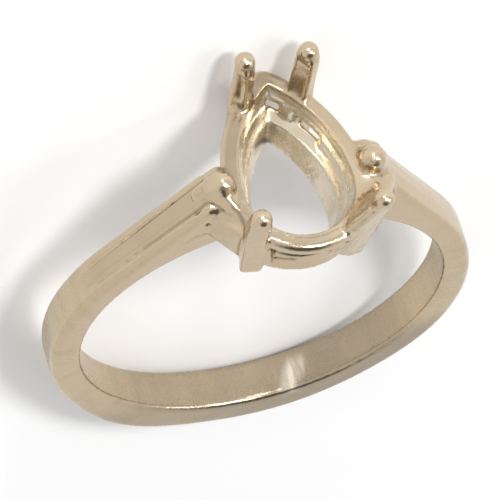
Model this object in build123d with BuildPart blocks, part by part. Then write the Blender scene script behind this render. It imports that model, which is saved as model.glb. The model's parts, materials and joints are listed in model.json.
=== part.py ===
from build123d import *
import os
from math import acos, asin, atan2, cos, degrees, hypot, radians, sin, sqrt

# Semi mount ring: a cathedral shank with a pear shaped four prong basket, one soldered solid.
# It is modelled standing up, with the finger along Y, the head on top at +Z and the
# point of the pear towards +Y, and is laid on its side at the end. Millimetres.

# Shank
finger_radius = 8.65
band_width = 2.1
palm_thickness = 1.7
side_thickness = 1.38
outer_edge_round = 0.42
inner_edge_round = 0.25

# Cathedral shoulders: a flat plate rises in a straight line to the head on each side
plate_end_reach = 4.0
plate_end_rise = 1.88
plate_end_radius = 0.45
arm_depth = 1.1
window_rise = 1.8

# A raised bar lies along each plate, from a blunt foot to a ball against the head
ball_reach = 3.56
ball_rise = 2.84
ball_radius = 0.62
bar_below_ball = 0.2
bar_width_at_ball = 1.2
bar_width_at_foot = 0.9
bar_foot_angle = 29
bar_foot_point = 0.3
bar_edge_round = 0.28
bar_proud_at_foot = 0.05

# Pear seat of the stone, the inner top edge of the upper rail
seat_length = 7.88
seat_width = 5.2
seat_shift = 0.78
seat_rise = 2.69
upper_wall = 0.75
upper_height = 0.72
upper_round = 0.33
point_round = 0.6

# The opening narrows downwards, by these insets where it reaches the finger hole
base_point_inset = 1.56
base_side_inset = 0.88
base_heel_inset = 0.5

# Lower rail, with its outside stepped in from that of the upper rail
lower_rise = 1.2
lower_point_step = 1.1
lower_side_step = 0.28
lower_heel_step = 0.4
lower_point_lip = 0.5
lower_side_lip = 0.72
lower_heel_lip = 0.5
lower_point_round = 0.3
lower_round = 0.15

# The foot of the head is sunk into the finger hole by this much, before the hole is cut,
# and the feet of the prongs go a little lower than the lower rail's foot
foot_sink = 0.19
prong_below_rail = 0.1

# Prongs: flat bars with a bead on the end, a pair by the point and a pair by the round end
prong_width = 1.0
prong_top_depth = 0.72
prong_foot_depth = 1.3
prong_edge_round = 0.18
bead_radius = 0.44
bead_sink = 0.06
point_prong_x = 1.5
point_prong_y = 3.45
point_prong_facing = 40
point_prong_rise = 4.88
point_prong_lean = (0, 0.29)
heel_prong_x = 2.4
heel_prong_y = -2.65
heel_prong_facing = -75
heel_prong_rise = 4.6
heel_prong_lean = (0.1, -0.07)

half_width = band_width / 2
seat_top = finger_radius + seat_rise
upper_bottom = seat_top - upper_height
lower_top = finger_radius + lower_rise
foot_level = sqrt(finger_radius**2 - (seat_width / 2 + upper_wall) ** 2) - foot_sink
prong_foot_level = foot_level - prong_below_rail
seat_point = seat_shift + seat_length / 2
seat_heel = seat_shift - seat_length / 2
ball_height = finger_radius + ball_rise
plate_end_height = finger_radius + plate_end_rise
palm_radius = finger_radius + palm_thickness
reach_past_all = 2 * palm_radius

# The outside of the shank is one circle through the palm and both sides
shank_drop = (palm_radius**2 - (finger_radius + side_thickness) ** 2) / (2 * palm_radius)
shank_radius = palm_radius - shank_drop

# The point of an offset pear moves further than its sides, by their slope there
side_run = seat_point - seat_heel - seat_width / 2
point_stretch = ((seat_width / 2) ** 2 + side_run**2) / (seat_width * side_run)
upper_point = seat_point + upper_wall * point_stretch


def pear(point, heel, half, corner=0.0):
    """A pear outline with its point at +Y: a round end and two long side arcs."""
    middle = heel + half
    with BuildSketch() as face:
        with BuildLine():
            ThreePointArc((-half, middle), (0, heel), (half, middle))
            TangentArc((half, middle), (0, point), tangent=(0, 1))
            TangentArc((-half, middle), (0, point), tangent=(0, 1))
        make_face()
        if corner:
            fillet(face.vertices().sort_by(Axis.Y)[-1], corner)
    return face.sketch


def opening_outline(height):
    """The outline of the opening through the head, at a height above the ring's centre."""
    share = (seat_top - height) / seat_rise
    return pear(
        seat_point - base_point_inset * share,
        seat_heel + base_heel_inset * share,
        seat_width / 2 - base_side_inset * share,
    )


def shoulder_outline(radius, ends):
    """The shank's circle with a tangent rise on each side to rounded ends, seen from the front."""
    with BuildSketch() as outline:
        with Locations((0, -shank_drop)):
            Circle(radius)
        for x, height, end_radius in ends:
            with Locations((x, height)):
                Circle(end_radius)
        make_hull()
        mirror(about=Plane.YZ)
    return outline.sketch


def window_outline():
    """The wedges below the shoulder arms and above the shank's band, seen from the front."""
    end_distance = hypot(plate_end_reach, plate_end_height + shank_drop)
    end_angle = atan2(plate_end_height + shank_drop, plate_end_reach)
    arm_angle = end_angle - acos((shank_radius - plate_end_radius) / end_distance)
    arm_inside = shank_radius - arm_depth
    under_arm = (arm_inside * cos(arm_angle), arm_inside * sin(arm_angle) - shank_drop)
    with BuildSketch() as outline:
        with Locations(Location(under_arm, degrees(arm_angle))):
            Rectangle(arm_inside, reach_past_all, align=(Align.MAX, Align.MIN))
        Circle(finger_radius + window_rise, mode=Mode.SUBTRACT)
        Rectangle(
            reach_past_all, 2 * reach_past_all, align=(Align.MAX, Align.CENTER), mode=Mode.SUBTRACT
        )
        mirror(about=Plane.YZ)
    return outline.sketch


def shank():
    """The band with its two flat shoulder plates, all with soft edges."""
    plate_ends = (
        (plate_end_reach, plate_end_height, plate_end_radius),
        (seat_width / 2, plate_end_height, plate_end_radius),
    )
    with BuildPart() as band:
        with BuildSketch(Plane.XZ):
            add(shoulder_outline(shank_radius, plate_ends))
        extrude(amount=half_width, both=True)
        fillet(band.edges().group_by(Axis.Y)[0] + band.edges().group_by(Axis.Y)[-1], outer_edge_round)
        with BuildSketch(Plane.XZ):
            Circle(finger_radius)
        extrude(amount=band_width, both=True, mode=Mode.SUBTRACT)
        fillet(band.edges(Select.LAST).filter_by(GeomType.CIRCLE), inner_edge_round)
        with BuildSketch(Plane.XZ):
            add(window_outline())
        extrude(amount=band_width, both=True, mode=Mode.SUBTRACT)
    return band.part


def beside_top(edge):
    """Whether an edge lies along either side of a bar's top."""
    middle = edge @ 0.5
    return abs(middle.Y) > bar_width_at_foot / 3 and middle.Z > 0


def shoulder_bars():
    """The raised bar on each shoulder, narrower at its foot, and the ball that ends it."""
    foot_x = shank_radius * cos(radians(bar_foot_angle))
    bar_end = (ball_reach, ball_height, ball_radius - bar_below_ball)
    with BuildPart() as bars:
        with BuildSketch(Plane.XZ):
            add(shoulder_outline(shank_radius + bar_proud_at_foot, (bar_end,)))
        extrude(amount=half_width, both=True)
        with BuildSketch():
            with BuildLine():
                Polyline(
                    (ball_reach, -bar_width_at_ball / 2),
                    (foot_x, -bar_width_at_foot / 2),
                    (foot_x + bar_foot_point, 0),
                    (foot_x, bar_width_at_foot / 2),
                    (ball_reach, bar_width_at_ball / 2),
                    close=True,
                )
            make_face()
            mirror(about=Plane.YZ)
        extrude(amount=reach_past_all, mode=Mode.INTERSECT)
        fillet(bars.edges().filter_by(Axis.Z, reverse=True).filter_by(beside_top), bar_edge_round)
        with BuildSketch(Plane.XZ):
            add(window_outline())
        extrude(amount=band_width, both=True, mode=Mode.SUBTRACT)
        with Locations((ball_reach, 0, ball_height), (-ball_reach, 0, ball_height)):
            Sphere(ball_radius)
    return bars.part


def upper_rail():
    """The rail that carries the stone, filled inside until the opening is cut."""
    with BuildPart() as rail:
        with BuildSketch(Plane.XY.offset(upper_bottom)):
            add(pear(upper_point, seat_heel - upper_wall, seat_width / 2 + upper_wall, point_round))
        extrude(amount=upper_height)
        fillet(rail.edges().group_by(Axis.Z)[0] + rail.edges().group_by(Axis.Z)[-1], upper_round)
    return rail.part


def lower_rail():
    """The rail at the foot of the basket, thin at its top, filled until the opening is cut."""
    top_share = (seat_top - lower_top) / seat_rise
    with BuildPart() as rail:
        with BuildSketch(Plane.XY.offset(foot_level)):
            add(
                pear(
                    upper_point - lower_point_step,
                    seat_heel - upper_wall + lower_heel_step,
                    seat_width / 2 + upper_wall - lower_side_step,
                    point_round,
                )
            )
        with BuildSketch(Plane.XY.offset(lower_top)):
            add(
                pear(
                    seat_point - base_point_inset * top_share + lower_point_lip,
                    seat_heel + base_heel_inset * top_share - lower_heel_lip,
                    seat_width / 2 - base_side_inset * top_share + lower_side_lip,
                    lower_point_round,
                )
            )
        loft(ruled=True)
        fillet(rail.edges().group_by(Axis.Z)[-1], lower_round)
    return rail.part


def prongs(x, y, facing, lean, rise):
    """A pair of leaning bars with a bead on each, thicker towards the foot on the inside."""
    sunk = finger_radius - prong_foot_level
    foot = Plane(
        origin=(x - lean[0] * sunk, y - lean[1] * sunk, prong_foot_level),
        x_dir=(sin(radians(facing)), -cos(radians(facing)), 0),
        z_dir=(*lean, 1),
    )
    with BuildPart() as pair:
        with BuildSketch(foot):
            with Locations((0, (prong_top_depth - prong_foot_depth) / 2)):
                RectangleRounded(prong_width, prong_foot_depth, prong_edge_round)
        with BuildSketch(foot.offset((rise + sunk) * hypot(*lean, 1))):
            RectangleRounded(prong_width, prong_top_depth, prong_edge_round)
        loft(ruled=True)
        fillet(pair.edges().group_by(Axis.Z)[-1], prong_edge_round / 2)
        bead_rise = rise - bead_sink
        with Locations((x + lean[0] * bead_rise, y + lean[1] * bead_rise, finger_radius + bead_rise)):
            Sphere(bead_radius)
        mirror(about=Plane.YZ)
    return pair.part


with BuildPart() as standing:
    add(shank())
    add(shoulder_bars())
    add(upper_rail())
    add(lower_rail())
    add(prongs(point_prong_x, point_prong_y, point_prong_facing, point_prong_lean, point_prong_rise))
    add(prongs(heel_prong_x, heel_prong_y, heel_prong_facing, heel_prong_lean, heel_prong_rise))
    with BuildSketch(Plane.XY.offset(foot_level)):
        add(opening_outline(foot_level))
    with BuildSketch(Plane.XY.offset(seat_top)):
        add(opening_outline(seat_top))
    loft(ruled=True, mode=Mode.SUBTRACT)
    with BuildSketch(Plane.XZ):
        Circle(finger_radius)
    extrude(amount=reach_past_all, both=True, mode=Mode.SUBTRACT)

# The ring lies by itself on the palm's edge and on the tip of the upper rail, point down
tip_round_y = upper_rail().bounding_box().max.Y - upper_round
tip_round_z = upper_bottom + upper_round
palm_round_y = half_width - outer_edge_round
palm_round_z = outer_edge_round - palm_radius
between_rounds = hypot(tip_round_y - palm_round_y, tip_round_z - palm_round_z)
lean_of_rounds = atan2(tip_round_y - palm_round_y, tip_round_z - palm_round_z)
rest_lean = lean_of_rounds - asin((outer_edge_round - upper_round) / between_rounds)

floor = Plane(
    origin=(0, tip_round_y + upper_round * cos(rest_lean), tip_round_z - upper_round * sin(rest_lean)),
    x_dir=(-1, 0, 0),
    z_dir=(0, -cos(rest_lean), sin(rest_lean)),
)
on_floor = floor.to_local_coords(standing.part)

with BuildPart() as ring:
    with Locations((0, -on_floor.bounding_box().center().Y)):
        add(on_floor)

os.makedirs("parts", exist_ok=True)
ring.part.label = "ring"
export_step(ring.part, "parts/ring.step")
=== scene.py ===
import json
import math

import bmesh
import bpy
import numpy as np
from mathutils import Matrix, Vector


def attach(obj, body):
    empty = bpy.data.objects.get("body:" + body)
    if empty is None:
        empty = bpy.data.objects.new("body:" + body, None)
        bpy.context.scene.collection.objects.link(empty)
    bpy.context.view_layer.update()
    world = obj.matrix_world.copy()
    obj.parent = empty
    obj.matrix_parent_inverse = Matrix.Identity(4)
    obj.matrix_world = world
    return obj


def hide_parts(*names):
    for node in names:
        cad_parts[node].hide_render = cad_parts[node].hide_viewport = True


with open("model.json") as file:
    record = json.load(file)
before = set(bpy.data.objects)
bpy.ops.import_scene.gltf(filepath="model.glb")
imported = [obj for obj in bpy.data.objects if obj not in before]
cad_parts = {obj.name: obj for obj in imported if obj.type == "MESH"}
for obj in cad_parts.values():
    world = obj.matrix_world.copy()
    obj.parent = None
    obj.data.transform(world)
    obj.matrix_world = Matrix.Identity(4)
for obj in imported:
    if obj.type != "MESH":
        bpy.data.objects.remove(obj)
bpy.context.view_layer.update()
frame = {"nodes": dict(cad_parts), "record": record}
print("frame loaded")

# The ring is worked on standing up, in millimetres: X across, Y along the finger towards
# the pear's point, Z out through the head, with the middle of the finger hole at the origin.
mounts = {mount["name"]: mount for mount in frame["record"]["mounts"]}
holeCentre = np.array(mounts["finger_hole"]["pos_m"])
towardsPoint = -np.array(mounts["finger_hole"]["axis"])
towardsHead = np.array(mounts["stone_seat"]["axis"])
across = np.cross(towardsPoint, towardsHead)
standingAxes = np.array([across, towardsPoint, towardsHead])
fingerRadius = mounts["finger_hole"]["dims"]["r_mm"]
mmPerMetre = 1000


def standUp(points):
    return (points - holeCentre) @ standingAxes.T * mmPerMetre


def layDown(points):
    return points / mmPerMetre @ standingAxes + holeCentre


def readPoints(mesh):
    flat = np.empty(len(mesh.vertices) * 3)
    mesh.vertices.foreach_get("co", flat)
    return flat.reshape(-1, 3)


def writePoints(mesh, points):
    mesh.vertices.foreach_set("co", points.ravel())
    mesh.update()


def readNormals(mesh):
    flat = np.empty(len(mesh.vertices) * 3)
    mesh.vertex_normals.foreach_get("vector", flat)
    return flat.reshape(-1, 3)


def readEdges(mesh):
    flat = np.empty(len(mesh.edges) * 2, dtype=int)
    mesh.edges.foreach_get("vertices", flat)
    return flat.reshape(-1, 2)


def addObject(name, data):
    made = bpy.data.objects.new(name, data)
    bpy.context.scene.collection.objects.link(made)
    return made


def takeMesh(holder):  # the mesh that an object's modifiers give; the object goes
    graph = bpy.context.evaluated_depsgraph_get()
    mesh = bpy.data.meshes.new_from_object(holder.evaluated_get(graph))
    bpy.data.objects.remove(holder)
    return mesh


def asMesh(form, name):
    mesh = bpy.data.meshes.new(name)
    form.to_mesh(mesh)
    form.free()
    return mesh


def ease(values, start, end):
    share = np.clip((values - start) / (end - start), 0, 1)
    return share * share * (3 - 2 * share)


def averaged(values, edges):  # each point's mean over the points next to it
    one, other = edges[:, 0], edges[:, 1]
    count = np.bincount(edges.ravel(), minlength=len(values))
    columns = []
    for column in values.T:
        total = np.bincount(one, column[other], len(values)) + np.bincount(other, column[one], len(values))
        columns.append(total / np.maximum(count, 1))
    return np.stack(columns, 1)


def awayFromLine(points, start, end):
    start, end = np.array(start), np.array(end)
    share = np.clip((points - start) @ (end - start) / ((end - start) @ (end - start)), 0, 1)
    return np.linalg.norm(points - start - share[:, None] * (end - start), axis=1)


# Solder run into the joints: rods with round ends, (start, end, start radius, end radius)
solderRods = {
    "leftBall": ((-3.62, 0.0, 11.42), (-3.5, -0.1, 11.46), 0.6, 0.62),
    "leftBallToBar": ((-4.3, 0.0, 10.78), (-3.6, -0.05, 11.4), 0.5, 0.58),
    "leftBallToRail": ((-3.5, -0.35, 11.3), (-3.05, -1.2, 11.05), 0.5, 0.3),
    "leftEdge": ((-3.45, 0.66, 11.12), (-4.3, 0.66, 10.2), 0.42, 0.36),
    "rightBall": ((3.56, -0.02, 11.5), (3.62, 0.0, 11.44), 0.68, 0.68),
    "rightBallToRail": ((3.5, -0.3, 11.2), (3.05, -1.1, 10.95), 0.45, 0.33),
    "rightEdge": ((3.45, 0.66, 11.1), (4.3, 0.66, 10.2), 0.42, 0.38),
    "rightHeelRamp": ((1.6, -3.24, 11.0), (2.5, -3.12, 12.6), 0.3, 0.27),
    "rightHeelFill": ((1.7, -3.12, 9.9), (2.3, -3.1, 12.0), 0.36, 0.3),
    "rightHeelFoot": ((1.8, -2.98, 9.1), (2.2, -3.0, 10.8), 0.33, 0.36),
    "rightHeelWeb": ((3.1, -2.4, 9.9), (3.25, -2.35, 12.0), 0.42, 0.36),
    "rightHeelArm": ((3.35, -1.6, 10.1), (3.5, -1.5, 11.1), 0.55, 0.42),
    "leftHeelPit": ((-3.3, -0.88, 10.12), (-3.2, -0.95, 10.2), 0.2, 0.2),
    "leftBallPit": ((-3.72, -0.82, 10.48), (-3.08, -1.6, 10.75), 0.3, 0.3),
    "leftHeelFoot": ((-1.9, -2.95, 9.3), (-2.1, -2.9, 10.6), 0.3, 0.3),
}

# Solder that bridges a corner with a flat face: (radius of its edges, corners)
solderSheets = {
    "rightHump": (0.3, (
        (3.16, 0.95, 11.04), (3.5, 0.9, 11.2), (4.02, 0.8, 10.95), (3.3, 0.2, 10.7), (4.1, 0.1, 10.4),
    )),
    "leftWeb": (0.28, (
        (-3.9, -0.8, 10.1), (-4.0, -0.8, 9.2), (-2.75, -2.6, 11.0), (-2.3, -2.75, 8.95), (-3.0, -1.5, 9.05),
    )),
    "rightWeb": (0.3, (
        (4.35, -0.76, 10.5), (4.5, -0.76, 9.3), (3.12, -2.7, 12.0), (2.8, -2.6, 9.75), (3.2, -1.2, 9.6),
    )),
    "rightCover": (0.28, (
        (3.3, -0.6, 10.95), (3.15, -1.7, 10.97), (4.25, -0.75, 10.45), (3.2, -2.4, 11.5), (3.2, -1.4, 10.2),
    )),
    "rightRamp": (0.24, (
        (1.5, -3.2, 11.13), (2.95, -1.7, 11.13), (2.62, -3.12, 12.95), (3.0, -2.6, 12.85), (2.3, -2.6, 11.15),
    )),
    "rightWedge": (0.28, (
        (1.35, -3.22, 10.9), (1.25, -3.1, 9.5), (2.7, -2.98, 12.3), (2.6, -2.85, 9.9), (1.6, -2.6, 10.2),
    )),
}

# Solder in the gap between the rails: it rises in a cove from the lower rail's inner edge, over
# the back of the gap, to the upper rail, but for two small windows by the point. Each level is a
# pear with its half width, the middle of its round end, its point, its height and its thickness.
# Shares run from the heel (0) to the point (1 on the right side, -1 on the left). The window at
# the point reaches a little over to the left.
cove = {
    "levels": (
        (2.13, -0.72, 3.72, 9.82, 0.13),
        (2.5, -0.64, 4.35, 10.15, 0.24),
        (2.56, -0.6, 4.5, 10.62, 0.24),
    ),
    "windows": ((0.67, 0.865), (0.905, 1.01), (-1.01, -0.955)),
    "windowSill": (2.45, -0.64, 4.28, 10.04, 0.13),
    "windowHead": (2.6, -0.6, 4.58, 10.78, 0.21),
    "upperLip": (2.66, -0.56, 4.8, 11.28, 0.11),
    "steps": 54,
}


def roundRod(start, end, startRadius, endRadius):
    start, end = Vector(start), Vector(end)
    along = (end - start).normalized()
    form = bmesh.new()
    bmesh.ops.create_icosphere(form, subdivisions=2, radius=1)
    for corner in form.verts:
        if corner.co.dot(along) > 0:
            corner.co = end + corner.co * endRadius
        else:
            corner.co = start + corner.co * startRadius
    return asMesh(form, "rod")


def roundHull(radius, corners):
    form = bmesh.new()
    for corner in corners:
        bmesh.ops.create_icosphere(form, subdivisions=2, radius=radius, matrix=Matrix.Translation(corner))
    made = bmesh.ops.convex_hull(form, input=form.verts)
    spare = [item for item in made["geom_interior"] if isinstance(item, bmesh.types.BMVert)]
    bmesh.ops.delete(form, geom=spare, context="VERTS")
    return asMesh(form, "hull")


def pearPath(level, share):  # a point of the level, which is round at the heel and pointed in front
    half, middle, point, height = level[:4]
    side = math.copysign(1, share)
    heelLength = half * math.pi / 2
    reach = point - middle
    sideRadius = (half ** 2 + reach ** 2) / (2 * half)
    sideTurn = math.asin(reach / sideRadius)
    length = abs(share) * (heelLength + sideRadius * sideTurn)
    if length < heelLength:
        turn = length / half
        return Vector((side * half * math.sin(turn), middle - half * math.cos(turn), height))
    turn = (length - heelLength) / sideRadius
    x = half - sideRadius * (1 - math.cos(turn))
    return Vector((side * x, middle + sideRadius * math.sin(turn), height))


def pearRod(level, start, end):
    return roundRod(pearPath(level, start), pearPath(level, end), level[4], level[4])


def coveSolder():
    pieces = []
    count = cove["steps"]
    for step in range(-count, count):
        share, following = step / count, (step + 1) / count
        stack = cove["levels"]
        if any(low < (share + following) / 2 < high for low, high in cove["windows"]):
            stack = (stack[0], cove["windowSill"])
            pieces.append(pearRod(cove["windowHead"], share, following))
        for low, high in zip(stack, stack[1:]):
            corners = [pearPath(level, end) for level in (low, high) for end in (share, following)]
            pieces.append(roundHull(low[4], corners))
        pieces.append(pearRod(cove["upperLip"], share, following))
    return pieces


def solder():
    rods = [roundRod(*rod) for rod in solderRods.values()]
    sheets = [roundHull(*sheet) for sheet in solderSheets.values()]
    return rods + sheets + coveSolder()


# Casting: the whole ring as one soft skin, made from the solid and the solder
casting = {
    "gridStep": 0.07,
    "softenRounds": 10,
    "softenShare": 0.5,
    "growShare": 0.52,  # just over softenShare, so that softening takes nothing off the size
    "fillRounds": 6,
    "fillShare": 0.9,
    "mostTriangles": 196000,
    "headFrom": 7.5,
    "thinFactor": 10,
}


def castSkin():
    solid = frame["nodes"]["ring"].data.copy()
    writePoints(solid, standUp(readPoints(solid)))
    form = bmesh.new()
    for mesh in [solid] + solder():
        form.from_mesh(mesh)
        bpy.data.meshes.remove(mesh)
    rough = addObject("castRough", asMesh(form, "joined"))
    remesh = rough.modifiers.new("evenGrid", "REMESH")
    remesh.mode = "VOXEL"
    remesh.voxel_size = casting["gridStep"]
    return takeMesh(rough)


def soften(points, edges, rounds, mask=1.0):
    for _ in range(rounds):
        points += casting["softenShare"] * mask * (averaged(points, edges) - points)
        points -= casting["growShare"] * mask * (averaged(points, edges) - points)
    return points


def outward(mesh, points):
    writePoints(mesh, points)
    return readNormals(mesh)


def fillHollows(mesh, points, edges, rounds, mask=1.0):  # only hollows move, outwards
    for _ in range(rounds):
        normals = outward(mesh, points)
        pull = averaged(points, edges) - points
        rise = np.maximum((pull * normals).sum(1), 0)
        points += (casting["fillShare"] * mask * rise)[:, None] * normals
    return points


# Prongs: bent slightly to one side, each with a round dome on its end
prongEnds = {
    "pointLeft": (-1.5, 4.85, 13.47),
    "pointRight": (1.5, 4.85, 13.47),
    "heelLeft": (-2.85, -2.97, 13.19),
    "heelRight": (2.85, -2.97, 13.19),
}
dome = {
    "radius": 0.47,
    "height": 0.42,
    "fadeIn": (-0.3, 0.12),
    "stemReach": 0.85,
    "core": 0.2,
    "neckDrop": 0.36,
    "neckWidth": 0.09,
    "neckDepth": 0.015,
}
prongBend = {"fadeIn": (11.3, 13.3), "sideways": 0.15}


def shapeProngs(points, normals):
    shape = np.array([dome["radius"], dome["radius"], dome["height"]])
    sideways = np.array([1, 1, 0])
    for end in prongEnds.values():
        away = points - np.array(end)
        near = np.linalg.norm(away[:, :2], axis=1) < dome["stemReach"]
        share = ease(away[:, 2], *dome["fadeIn"]) * near
        reach = np.linalg.norm(away / shape, axis=1)
        onDome = away / np.maximum(reach, dome["core"])[:, None]
        points += share[:, None] * (onDome - away)
        neck = np.exp(-(((away[:, 2] + dome["neckDrop"]) / dome["neckWidth"]) ** 2)) * near
        points -= (dome["neckDepth"] * neck)[:, None] * normals * sideways
    points[:, 0] += prongBend["sideways"] * ease(points[:, 2], *prongBend["fadeIn"])
    return points


# Shoulders: the left bar has a cut line along each side, and its ball has been filed almost
# level with it; the right shoulder is polished smooth. Places on the bar are (X, Z).
leftBar = {
    "head": (-3.56, 11.49),
    "foot": (-8.92, 4.4),
    "outward": (-0.81, 0, 0.58),
    "halfWidthAtHead": 0.6,
    "halfWidthAtFoot": 0.44,
    "lineWidth": 0.1,
    "lineDepth": 0.075,
    "lineStart": (0.03, 0.1),
    "lineEnd": (0.92, 1.02),
    "facingOut": (0.1, 0.5),
}
flatBall = {"centre": (-3.56, 0, 11.49), "height": 0.46, "keep": 0.35, "fadeOut": (0.75, 0.95)}
rightShoulder = {"fromX": (3.4, 4.2), "fromZ": (1.0, 4.0), "fillRounds": 60, "softRounds": 20}


def cutBarLines(points, normals):
    head, foot = np.array(leftBar["head"]), np.array(leftBar["foot"])
    length = np.linalg.norm(foot - head)
    place = (points[:, [0, 2]] - head) @ ((foot - head) / length) / length
    half = leftBar["halfWidthAtHead"] + (leftBar["halfWidthAtFoot"] - leftBar["halfWidthAtHead"]) * place
    line = np.exp(-(((np.abs(points[:, 1]) - half) / leftBar["lineWidth"]) ** 2))
    reach = ease(place, *leftBar["lineStart"]) * (1 - ease(place, *leftBar["lineEnd"]))
    facing = normals @ np.array(leftBar["outward"])
    outside = ease(facing, *leftBar["facingOut"]) * (points[:, 0] < 0)
    points -= (leftBar["lineDepth"] * line * reach * outside)[:, None] * normals
    return points


def flattenBall(points):
    away = points - np.array(flatBall["centre"])
    near = 1 - ease(np.linalg.norm(away, axis=1), *flatBall["fadeOut"])
    height = away @ np.array(leftBar["outward"])
    over = np.maximum(height - flatBall["height"], 0) * (1 - flatBall["keep"]) * near
    return points - over[:, None] * np.array(leftBar["outward"])


def smoothShoulder(mesh, points, edges):
    mask = ease(points[:, 0], *rightShoulder["fromX"]) * ease(points[:, 2], *rightShoulder["fromZ"])
    points = fillHollows(mesh, points, edges, rightShoulder["fillRounds"], mask)
    return soften(points, edges, rightShoulder["softRounds"], mask[:, None])


# The band is finished by hand, a little thicker on the left of the palm and thinner on the
# right: (angle from the palm and half width in degrees, change in thickness)
handFinish = {"left": (-30, 27, 0.3), "right": (42, 30, -0.14)}
bandWall = 1.5


def swellBand(points):
    angle = np.degrees(np.arctan2(points[:, 0], -points[:, 2]))
    radius = np.hypot(points[:, 0], points[:, 2])
    depth = np.clip((radius - fingerRadius) / bandWall, 0, 1)
    for middle, width, swell in handFinish.values():
        share = np.cos(np.clip((angle - middle) / width, -1, 1) * math.pi / 2) ** 2
        grow = 1 + swell * share * depth / radius
        points[:, 0] *= grow
        points[:, 2] *= grow
    return points


# Joints where solder has filled the corners: (centre, (full reach, end of reach), rounds of
# filling, rounds of softening)
softSpots = {
    "leftBall": ((-3.7, -0.1, 11.3), (0.9, 1.4), 30, 30),
    "pointRightRoot": ((1.3, 3.9, 11.7), (0.5, 0.95), 30, 6),
    "pointLeftRoot": ((-1.2, 3.75, 11.6), (0.35, 0.7), 20, 4),
    "rightBall": ((3.4, -0.1, 11.2), (0.9, 1.3), 30, 8),
    "rightHeel": ((3.1, -2.3, 10.6), (1.4, 2.0), 50, 40),
    "pointWindow": ((0.45, 4.75, 10.3), (0.75, 0.95), 3, 14),
    "sideWindow": ((1.6, 3.1, 10.3), (0.9, 1.1), 3, 14),
    "leftHeel": ((-2.9, -2.2, 9.9), (0.9, 1.5), 30, 25),
}
openingWall = {
    "halfWidth": 2.9,
    "narrowing": 0.25,
    "middleY": 0.4,
    "halfLength": 4.2,
    "fromZ": (6.5, 7.5),
    "toZ": (9.4, 9.8),
    "softRounds": 150,
}

# Cut lines: (width, depth, points) on the surface
cutLines = {
    "shoulderSeam": (0.06, 0.05, (
        (-5.02, -1.05, 8.40), (-4.62, -1.05, 8.86), (-4.0, -1.05, 9.11), (-3.2, -1.05, 9.07),
    )),
    "shoulderSlit": (0.07, 0.1, ((-4.2, -1.05, 9.86), (-3.8, -1.05, 10.02), (-3.3, -1.05, 10.08))),
    "ballLine": (0.08, 0.07, (
        (-4.72, -0.63, 10.30), (-4.42, -0.62, 10.86), (-4.17, -0.66, 11.05), (-3.5, -0.85, 10.85),
    )),
    "heelLine": (0.07, 0.06, ((-1.72, -2.84, 9.34), (-0.67, -3.32, 9.55))),
    "prongScallop": (0.17, 0.1, ((-1.55, 4.5, 13.2), (-1.62, 4.15, 12.6), (-1.65, 3.95, 12.0))),
}


def fillJoints(mesh, points, edges):
    for centre, reach, fillRounds, softRounds in softSpots.values():
        spot = 1 - ease(np.linalg.norm(points - np.array(centre), axis=1), *reach)
        points = fillHollows(mesh, points, edges, fillRounds, spot)
        points = soften(points, edges, softRounds, spot[:, None])
    return points


def smoothOpening(points, edges):
    x, y, z = points.T
    inside = np.abs(x) < openingWall["halfWidth"] - openingWall["narrowing"] * np.maximum(y, 0)
    inside = inside * (np.abs(y - openingWall["middleY"]) < openingWall["halfLength"])
    mask = inside * (1 - ease(z, *openingWall["toZ"])) * ease(z, *openingWall["fromZ"])
    return soften(points, edges, openingWall["softRounds"], mask[:, None])


def cutAlong(points, normals, width, depth, stops):
    nearest = np.min([awayFromLine(points, start, end) for start, end in zip(stops, stops[1:])], axis=0)
    points -= (depth * np.exp(-((nearest / width) ** 2)))[:, None] * normals
    return points


def shapeSkin(mesh):
    points, edges = readPoints(mesh), readEdges(mesh)
    points = soften(points, edges, casting["softenRounds"])
    points = fillHollows(mesh, points, edges, casting["fillRounds"])
    points = smoothShoulder(mesh, points, edges)
    points = fillJoints(mesh, points, edges)
    points = smoothOpening(points, edges)
    points = swellBand(flattenBall(points))
    points = cutBarLines(points, outward(mesh, points))
    for width, depth, stops in cutLines.values():
        points = cutAlong(points, outward(mesh, points), width, depth, stops)
    return shapeProngs(points, outward(mesh, points))


def thinOut(mesh, points):  # fewer triangles in the plain shank, all of them in the head
    dense = addObject("castDense", mesh)
    shank = dense.vertex_groups.new(name="shank")
    shank.add(np.flatnonzero(points[:, 2] < casting["headFrom"]).tolist(), 1.0, "REPLACE")
    thin = dense.modifiers.new("thin", "DECIMATE")
    thin.vertex_group = "shank"
    thin.vertex_group_factor = casting["thinFactor"]
    thin.ratio = min(1, casting["mostTriangles"] / (2 * len(mesh.polygons)))
    return takeMesh(dense)


skin = castSkin()
print("skin", len(skin.vertices), "points", len(skin.polygons), "faces")
shaped = shapeSkin(skin)
writePoints(skin, layDown(shaped))
print("skin shaped")
skin = thinOut(skin, shaped)
skin.polygons.foreach_set("use_smooth", [True] * len(skin.polygons))
print("skin thinned to", len(skin.polygons), "faces")


class Wire:  # a socket that takes part in sums
    def __init__(self, finish, socket):
        self.finish = finish
        self.socket = socket

    def __add__(self, other):
        return self.finish.maths("ADD", self, other)

    def __sub__(self, other):
        return self.finish.maths("SUBTRACT", self, other)

    def __rsub__(self, other):
        return self.finish.maths("SUBTRACT", other, self)

    def __mul__(self, other):
        return self.finish.maths("MULTIPLY", self, other)

    __radd__ = __add__
    __rmul__ = __mul__


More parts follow.
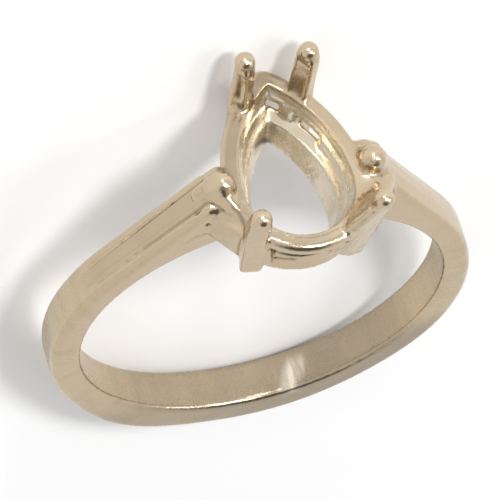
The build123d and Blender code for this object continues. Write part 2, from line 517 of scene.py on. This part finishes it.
class Finish:  # the nodes of a material or of the world
    def __init__(self, owner, shaderName="Principled BSDF"):
        owner.use_nodes = True
        self.owner = owner
        self.tree = owner.node_tree
        self.shader = self.tree.nodes[shaderName]

    def feed(self, socket, value):
        if isinstance(value, Wire):
            self.tree.links.new(value.socket, socket)
        else:
            socket.default_value = value

    def node(self, kind, settings=(), sockets=(), output=0):
        made = self.tree.nodes.new(kind)
        for name, value in dict(settings).items():
            setattr(made, name, value)
        for name, value in dict(sockets).items():
            self.feed(made.inputs[name], value)
        return Wire(self, made.outputs[output])

    def maths(self, operation, *values):
        return self.node("ShaderNodeMath", {"operation": operation}, dict(enumerate(values)))

    def set(self, **values):
        for name, value in values.items():
            self.feed(self.shader.inputs[name.replace("_", " ")], value)


# Dark marks kept as point values, partly pits and residue in the metal and partly painted shade in grooves,
# at the feet of the balls and in the slit: (width, strength, points)
soilAndShadeMarks = {
    "barPitLow": (0.09, 0.8, ((-5.33, 0.5, 9.37), (-5.25, 0.42, 9.5))),
    "barPitHigh": (0.08, 0.7, ((-4.17, 0.54, 11.0), (-4.12, 0.48, 11.05))),
    "leftBallFoot": (0.09, 0.55, ((-3.2, -1.0, 11.3), (-3.03, -1.57, 11.28), (-2.93, -2.1, 11.18))),
    "rightBallFoot": (0.1, 0.7, ((3.15, -0.5, 11.83), (3.45, -0.67, 11.62), (3.75, -0.67, 11.45))),
    "leftProngGroove": (0.08, 0.5, ((-1.67, 4.35, 13.1), (-1.67, 4.2, 12.6), (-1.66, 3.95, 11.9))),
    "leftProngPit": (0.12, 0.8, ((-1.64, 3.75, 11.6), (-1.6, 3.7, 11.5))),
    "pointResidue": (0.16, 0.75, ((-0.84, 2.73, 9.4), (-0.35, 3.12, 9.1), (0.02, 3.2, 8.8))),
    "pointResidueLow": (0.12, 0.7, ((-1.0, 2.5, 9.2), (-0.7, 2.8, 9.0))),
    "rightProngLine": (0.06, 0.6, ((2.8, -3.1, 13.5), (3.1, -3.18, 13.5))),
    "heelGroove": (0.07, 0.6, ((-1.72, -2.9, 9.34), (-1.0, -3.2, 9.5), (-0.67, -3.32, 9.55))),
    "slit": (0.08, 0.5, ((-4.2, -1.0, 9.86), (-3.8, -1.0, 10.02), (-3.3, -1.0, 10.08))),
}
# Painted shade lines round the basket, under the upper rail, in the gap between the rails and inside the
# seat: (width, strength, level as in the cove, from share, to share)
pearLines = {
    "underRail": (0.07, 0.95, (3.3, -0.56, 5.2, 10.56), -0.45, 0.5),
    "gapLine": (0.06, 0.35, (3.1, -0.6, 5.0, 9.95), -0.42, 0.35),
    "insideSeat": (0.07, 0.7, (2.5, -0.56, 4.55, 10.98), 0.52, 0.8),
    "insidePoint": (0.06, 0.4, (2.5, -0.56, 4.55, 11.0), 0.8, 0.98),
}
pearLineSteps = 12
# Painted highlights: (width, strength, points)
paintedHighlightMarks = {
    "palmRight": (0.32, 1.6, ((2.7, -0.7, -8.22), (3.25, 0.1, -8.02))),
    "heelStreak": (0.1, 0.8, ((1.35, -3.5, 11.25), (1.9, -3.3, 11.4), (2.35, -3.2, 11.9))),
}
# Painted light on the solder ramp by the right heel prong: (width, strength, points)
paintedLightMarks = {
    "rightRamp": (0.4, 0.9, ((2.2, -2.8, 11.5), (2.8, -2.8, 12.6))),
}
# Where larger areas are marked: hollows with painted shade, ridges with polish and painted highlight,
# the inside of the basket with painted light, the palm, rail top and left bar top with painted shade,
# and the shank brushed. A pair is where the mark begins and where it is full, or where it
# begins to end and has ended
wearAndPaintedLight = {
    "bendRounds": 4,
    "hollow": (1.0, 6.0),  # bends in 1/mm, as for the ridge
    "ridge": (2.0, 9.0),
    "basketMiddle": (0.0, 0.4),
    # painted light on the inside of the basket:
    "inside": {"facing": (0.2, 0.6), "fromZ": (7.9, 8.3), "toZ": (11.15, 11.3)},
    "wall": {"facing": (0.0, 0.4), "toZ": (9.4, 9.7)},
    # share of the painted light on the right heel ramp
    "paintedLightShare": 0.9,
    # painted shade on the palm, the top of the upper rail and the top of the left bar:
    "palm": {"down": (5.5, 8.0), "lean": 0.35, "rightward": (-2.0, 3.0), "least": 0.6},
    "palmEdge": {"facing": (0.5, 0.9), "more": 0.4},
    "railTop": {"fromZ": (11.1, 11.3), "toZ": (11.45, 11.7), "facing": (0.8, 0.97)},
    "railRight": {"fromX": (-0.5, 1.5), "less": 0.8},
    "barTop": {"facing": (0.88, 0.97), "edge": (0.35, 0.5), "left": (3.9, 4.5), "up": (3.5, 5.5)},
    "barTopShare": 0.4,
    "brushed": (4.0, 7.0),
}


def strokes(points, marks):
    value = np.zeros(len(points))
    for width, strength, stops in marks:
        for start, end in zip(stops, stops[1:]):
            away = awayFromLine(points, start, end)
            value = np.maximum(value, strength * np.exp(-((away / width) ** 2)))
    return value


def pearStrokes(points):
    marks = []
    for width, strength, level, low, high in pearLines.values():
        shares = [low + (high - low) * step / pearLineSteps for step in range(pearLineSteps + 1)]
        marks.append((width, strength, [pearPath(level, share) for share in shares]))
    return strokes(points, marks)


def bendOf(points, normals, edges):  # above 0 in a hollow, below 0 on a ridge, in 1/mm
    step = np.linalg.norm(points[edges[:, 0]] - points[edges[:, 1]], axis=1)
    count = np.bincount(edges.ravel(), minlength=len(points))
    meanStep = np.bincount(edges.ravel(), np.repeat(step, 2), len(points)) / np.maximum(count, 1)
    bend = 4 * ((averaged(points, edges) - points) * normals).sum(1) / meanStep ** 2
    for _ in range(wearAndPaintedLight["bendRounds"]):
        bend = averaged(bend[:, None], edges)[:, 0]
    return bend


def facingMiddle(points, normals):  # 1 where the surface faces the middle of the basket
    middle = points[:, :2] - np.array(wearAndPaintedLight["basketMiddle"])
    away = np.maximum(np.linalg.norm(middle, axis=1), 0.1)
    return -(middle * normals[:, :2]).sum(1) / away


# Painted shade: a darker colour on the palm, the top of the upper rail and the top of the left bar, in place
# of darker reflections there
def paintedShadeShare(points, normals):
    x, y, z = points.T
    palm, edge, bar = wearAndPaintedLight["palm"], wearAndPaintedLight["palmEdge"], wearAndPaintedLight["barTop"]
    rail, railRight = wearAndPaintedLight["railTop"], wearAndPaintedLight["railRight"]
    onPalm = ease(-z + palm["lean"] * np.maximum(x, 0), *palm["down"])
    onPalm *= palm["least"] + (1 - palm["least"]) * ease(x, *palm["rightward"])
    onPalm *= 1 + edge["more"] * ease(-normals[:, 1], *edge["facing"])
    onRail = ease(z, *rail["fromZ"]) * (1 - ease(z, *rail["toZ"])) * ease(normals[:, 2], *rail["facing"])
    onRail *= 1 - railRight["less"] * ease(x, *railRight["fromX"])
    onBar = ease(normals @ np.array(leftBar["outward"]), *bar["facing"]) * (1 - ease(np.abs(y), *bar["edge"]))
    onBar *= ease(-x, *bar["left"]) * ease(z, *bar["up"])
    return np.maximum(onPalm, np.maximum(onRail, wearAndPaintedLight["barTopShare"] * onBar))


def markSkin(mesh):
    points, edges = standUp(readPoints(mesh)), readEdges(mesh)
    normals = readNormals(mesh) @ standingAxes.T
    bend = bendOf(points, normals, edges)
    height = points[:, 2]
    facing = facingMiddle(points, normals)
    basket, wall = wearAndPaintedLight["inside"], wearAndPaintedLight["wall"]
    inside = ease(facing, *basket["facing"]) * ease(height, *basket["fromZ"])
    inside *= 1 - ease(height, *basket["toZ"])
    # the lower inner walls of the basket are left out of the hollow and ridge marks
    bendMarksKept = 1 - ease(facing, *wall["facing"]) * (1 - ease(height, *wall["toZ"]))
    values = {
        # hollows, darkened below as painted shade
        "hollow": ease(bend, *wearAndPaintedLight["hollow"]) * bendMarksKept,
        "ridge": ease(-bend, *wearAndPaintedLight["ridge"]) * bendMarksKept,
        # painted shade on the palm, the rail top and the left bar top
        "paintedShade": paintedShadeShare(points, normals),
        # painted light inside the basket and on the right heel ramp
        "inside": inside + wearAndPaintedLight["paintedLightShare"] * strokes(points, paintedLightMarks.values()),
        # dark marks: pits and residue, and painted shade under the rail, in gaps and grooves
        "soilAndShade": np.maximum(strokes(points, soilAndShadeMarks.values()), pearStrokes(points)),
        # painted highlights on the palm and the heel
        "paintedHighlight": strokes(points, paintedHighlightMarks.values()),
        "brushed": 1 - ease(height, *wearAndPaintedLight["brushed"]),
    }
    for name, value in values.items():
        mesh.attributes.new(name, "FLOAT", "POINT").data.foreach_set("value", value)
    angle = np.arctan2(points[:, 0], -points[:, 2])
    along = np.stack([angle * fingerRadius, np.hypot(points[:, 0], points[:, 2]), points[:, 1]], 1)
    mesh.attributes.new("alongBand", "FLOAT_VECTOR", "POINT").data.foreach_set("vector", along.ravel())


markSkin(skin)
print("skin marked")

# Pale gold. A pair is (gain, what is added) for a noise or a mark; depths are in metres.
goldFinish = {
    "colour": (0.58, 0.473, 0.328, 1),
    "warmColour": (0.56, 0.442, 0.295, 1),
    # darker colour for the painted shade on the palm, rail top and left bar top, and for the brushed streaks
    # on the shank
    "dullAndShadeColour": (0.37, 0.305, 0.22, 1),
    # pale colour for the painted light inside the basket and on the right heel ramp
    "paintedLightColour": (0.76, 0.69, 0.56, 1),
    # colour of the painted highlights
    "paintedHighlightColour": (0.95, 0.86, 0.72, 1),
    # near-black colour for pits and residue and for the painted shade in hollows, grooves and gaps
    "soilAndShadeColour": (0.075, 0.05, 0.028, 1),
    # lighter colour on ridges, partly edge polish and partly painted highlight
    "brightColour": (0.70, 0.60, 0.46, 1),
    "grain": {"perMm": 7.0, "detail": 4.0, "roughness": 0.6},
    "waves": {"perMm": 0.9, "detail": 2.0, "roughness": 0.5},
    "patches": {"perMm": 0.45, "detail": 3.0, "roughness": 0.5},
    "streaks": {"perMm": 1.3, "detail": 3.0, "roughness": 0.5},
    "streakStretch": (1.0, 0.6, 0.12),
    "warmPatches": (1.6, -0.4),
    "paintedShadePatches": (0.7, 0.5),
    "hollowGrain": (0.6, 0.25),
    "rubbedStreaks": (4, -1.92),
    "paintedHighlightStreaks": (4, -1),
    "rubbedShare": 0.3,
    "paintedLightShare": 0.9,
    "ridgeShare": 0.6,
    "roughness": 0.09,
    "grainRoughness": 0.12,
    "patchRoughness": 0.08,
    "brushedRoughness": 0.08,
    "insideRoughness": 0.08,
    "dirtAndShadeRoughness": 0.3,
    "grainDepth": 0.000009,
    "brushedGrainLess": 0.6,
    "waveDepth": 0.00005,
    "streakDepth": 0.000006,
}


def paleGold():
    gold = Finish(bpy.data.materials.new("paleGold"))
    look = goldFinish

    def mark(name):
        return gold.node("ShaderNodeAttribute", {"attribute_name": name}, output="Fac")

    def noiseOf(place, noise):
        return gold.node("ShaderNodeTexNoise", {"noise_dimensions": "3D"}, {
            "Vector": place,
            "Scale": noise["perMm"],
            "Detail": noise["detail"],
            "Roughness": noise["roughness"],
        }, output="Fac")

    def scaled(place, factors):
        return gold.node("ShaderNodeVectorMath", {"operation": "MULTIPLY"}, {0: place, 1: factors})

    def mixed(share, one, other):
        sockets = {"Factor": share, 6: one, 7: other}  # 6 and 7 are the colours A and B, 2 their mix
        return gold.node("ShaderNodeMix", {"data_type": "RGBA"}, sockets, output=2)

    def clamped(value):
        return gold.node("ShaderNodeClamp", {}, {"Value": value})

    def levelled(value, gainAndAdd):
        return value * gainAndAdd[0] + gainAndAdd[1]

    place = scaled(gold.node("ShaderNodeTexCoord", output="Object"), (mmPerMetre,) * 3)
    along = gold.node("ShaderNodeAttribute", {"attribute_name": "alongBand"}, output="Vector")
    hollow, ridge, soilAndShade = mark("hollow"), mark("ridge"), mark("soilAndShade")
    brushed, paintedShade, inside, paintedHighlight = mark("brushed"), mark("paintedShade"), mark("inside"), mark("paintedHighlight")
    grain = noiseOf(place, look["grain"])
    waves = noiseOf(place, look["waves"])
    patches = noiseOf(place, look["patches"])
    streaks = noiseOf(scaled(along, look["streakStretch"]), look["streaks"])

    # darker in hollows and along the dark marks: partly pits and residue, partly painted shade in creases,
    # grooves and gaps
    dirtAndShade = clamped(soilAndShade + hollow * levelled(grain, look["hollowGrain"]))
    tone = mixed(clamped(levelled(patches, look["warmPatches"])), look["colour"], look["warmColour"])
    # painted shade: darker on the palm, the rail top and the left bar top
    tone = mixed(paintedShade * levelled(patches, look["paintedShadePatches"]), tone, look["dullAndShadeColour"])
    rubbed = clamped(levelled(streaks, look["rubbedStreaks"]) * brushed)
    tone = mixed(rubbed * look["rubbedShare"], tone, look["dullAndShadeColour"])
    # painted highlights, streaked, on the palm and the heel
    tone = mixed(clamped(paintedHighlight * levelled(streaks, look["paintedHighlightStreaks"])), tone, look["paintedHighlightColour"])
    # painted light: paler inside the basket and on the right heel ramp
    tone = mixed(inside * look["paintedLightShare"], tone, look["paintedLightColour"])
    # ridges lighter: partly edge polish, partly painted highlight
    polishAndEdgeHighlight = mixed(ridge * look["ridgeShare"], tone, look["brightColour"])
    gold.set(
        Base_Color=mixed(dirtAndShade, polishAndEdgeHighlight, look["soilAndShadeColour"]),
        Metallic=1.0,
        Roughness=(
            grain * look["grainRoughness"]
            + patches * look["patchRoughness"]
            + brushed * look["brushedRoughness"]
            + inside * look["insideRoughness"]
            + dirtAndShade * look["dirtAndShadeRoughness"]
            + look["roughness"]
        ),
    )
    height = (
        grain * (1 - brushed * look["brushedGrainLess"]) * look["grainDepth"]
        + waves * look["waveDepth"]
        + streaks * brushed * look["streakDepth"]
    )
    gold.set(Normal=gold.node("ShaderNodeBump", {}, {"Height": height, "Distance": 1.0, "Strength": 1.0}))
    return gold.owner


ring = addObject("ringCasting", skin)
skin.materials.clear()
skin.materials.append(paleGold())
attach(ring, "root")
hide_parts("ring")
print("ring made")

# Stage: a plain white floor a hair below the ring
floorSetting = {"size": 0.6, "colour": (0.93, 0.93, 0.93, 1), "roughness": 0.8, "drop": 0.00001}


def makeFloor():
    mesh = bpy.data.meshes.new("floor")
    half = floorSetting["size"] / 2
    corners = [(-half, -half), (half, -half), (half, half), (-half, half)]
    mesh.from_pydata([(x, y, -floorSetting["drop"]) for x, y in corners], [], [(0, 1, 2, 3)])
    paper = Finish(bpy.data.materials.new("whitePaper"))
    paper.set(Base_Color=floorSetting["colour"], Roughness=floorSetting["roughness"])
    mesh.materials.append(paper.owner)
    addObject("floor", mesh)


makeFloor()
print("floor made")

# Camera: the photo's view of the standing ring, as its axes there
view = {
    "right": (0.951, -0.268, 0.152),
    "up": (0.165, 0.860, 0.483),
    "distance": 0.33333,
    "pixelsPerMm": 21.727,
    "holePixel": (256.85, 295.94),
    "frame": 500,
    "sensor": 36,
    "clipStart": 0.01,
}


def placeCamera():
    right = Vector(np.array(view["right"]) @ standingAxes).normalized()
    up = Vector(np.array(view["up"]) @ standingAxes)
    up = (up - up.dot(right) * right).normalized()
    back = right.cross(up)
    lens = bpy.data.cameras.new("camera")
    lens.sensor_width = view["sensor"]
    lens.lens = view["sensor"] * view["distance"] * mmPerMetre * view["pixelsPerMm"] / view["frame"]
    lens.shift_x = 0.5 - view["holePixel"][0] / view["frame"]
    lens.shift_y = view["holePixel"][1] / view["frame"] - 0.5
    lens.clip_start = view["clipStart"]
    camera = addObject("camera", lens)
    place = Matrix((right, up, back)).transposed().to_4x4()
    place.translation = Vector(holeCentre) + back * view["distance"]
    camera.matrix_world = place
    bpy.context.scene.camera = camera
    return right, up, back


right, up, back = placeCamera()
print("camera placed")

# Light: a tent, bright low down and dark straight overhead, and soft lamps given in the
# camera's own directions (right, up and back)
tent = {"low": 0.94, "overhead": 0.12, "darkFrom": 0.72, "darkTo": 0.96, "tint": (1.0, 1.0, 1.0, 1)}
lamps = {
    "soft": {"from": (0.51, 0.02, 0.86), "size": 0.05, "power": 0.34},
    "key": {"from": (0.1, 0.5, 0.86), "size": 0.025, "power": 0.10},
    "side": {"from": (0.86, -0.1, 0.5), "size": 0.04, "power": 0.06},
}
lampDistance = 0.25


def lightTent():
    world = bpy.data.worlds.new("tent")
    bpy.context.scene.world = world
    sky = Finish(world, "Background")
    direction = sky.node("ShaderNodeTexCoord", output="Generated")
    height = sky.node(
        "ShaderNodeVectorMath", {"operation": "DOT_PRODUCT"}, {0: direction, 1: (0, 0, 1)}, output="Value",
    )
    share = sky.node("ShaderNodeMapRange", {"interpolation_type": "SMOOTHSTEP"}, {
        "Value": height, "From Min": tent["darkFrom"], "From Max": tent["darkTo"],
        "To Min": tent["low"], "To Max": tent["overhead"],
    })
    sky.set(Color=tent["tint"], Strength=share)


def hangLamps():
    for name, setting in lamps.items():
        lamp = bpy.data.lights.new(name, "AREA")
        lamp.size = setting["size"]
        lamp.energy = setting["power"]
        rightward, upward, backward = setting["from"]
        towards = (right * rightward + up * upward + back * backward).normalized()
        holder = addObject(name, lamp)
        holder.location = Vector(holeCentre) + towards * lampDistance
        holder.rotation_euler = towards.to_track_quat("Z", "Y").to_euler()


lightTent()
hangLamps()
bpy.context.scene.view_settings.view_transform = "Standard"
print("light set")
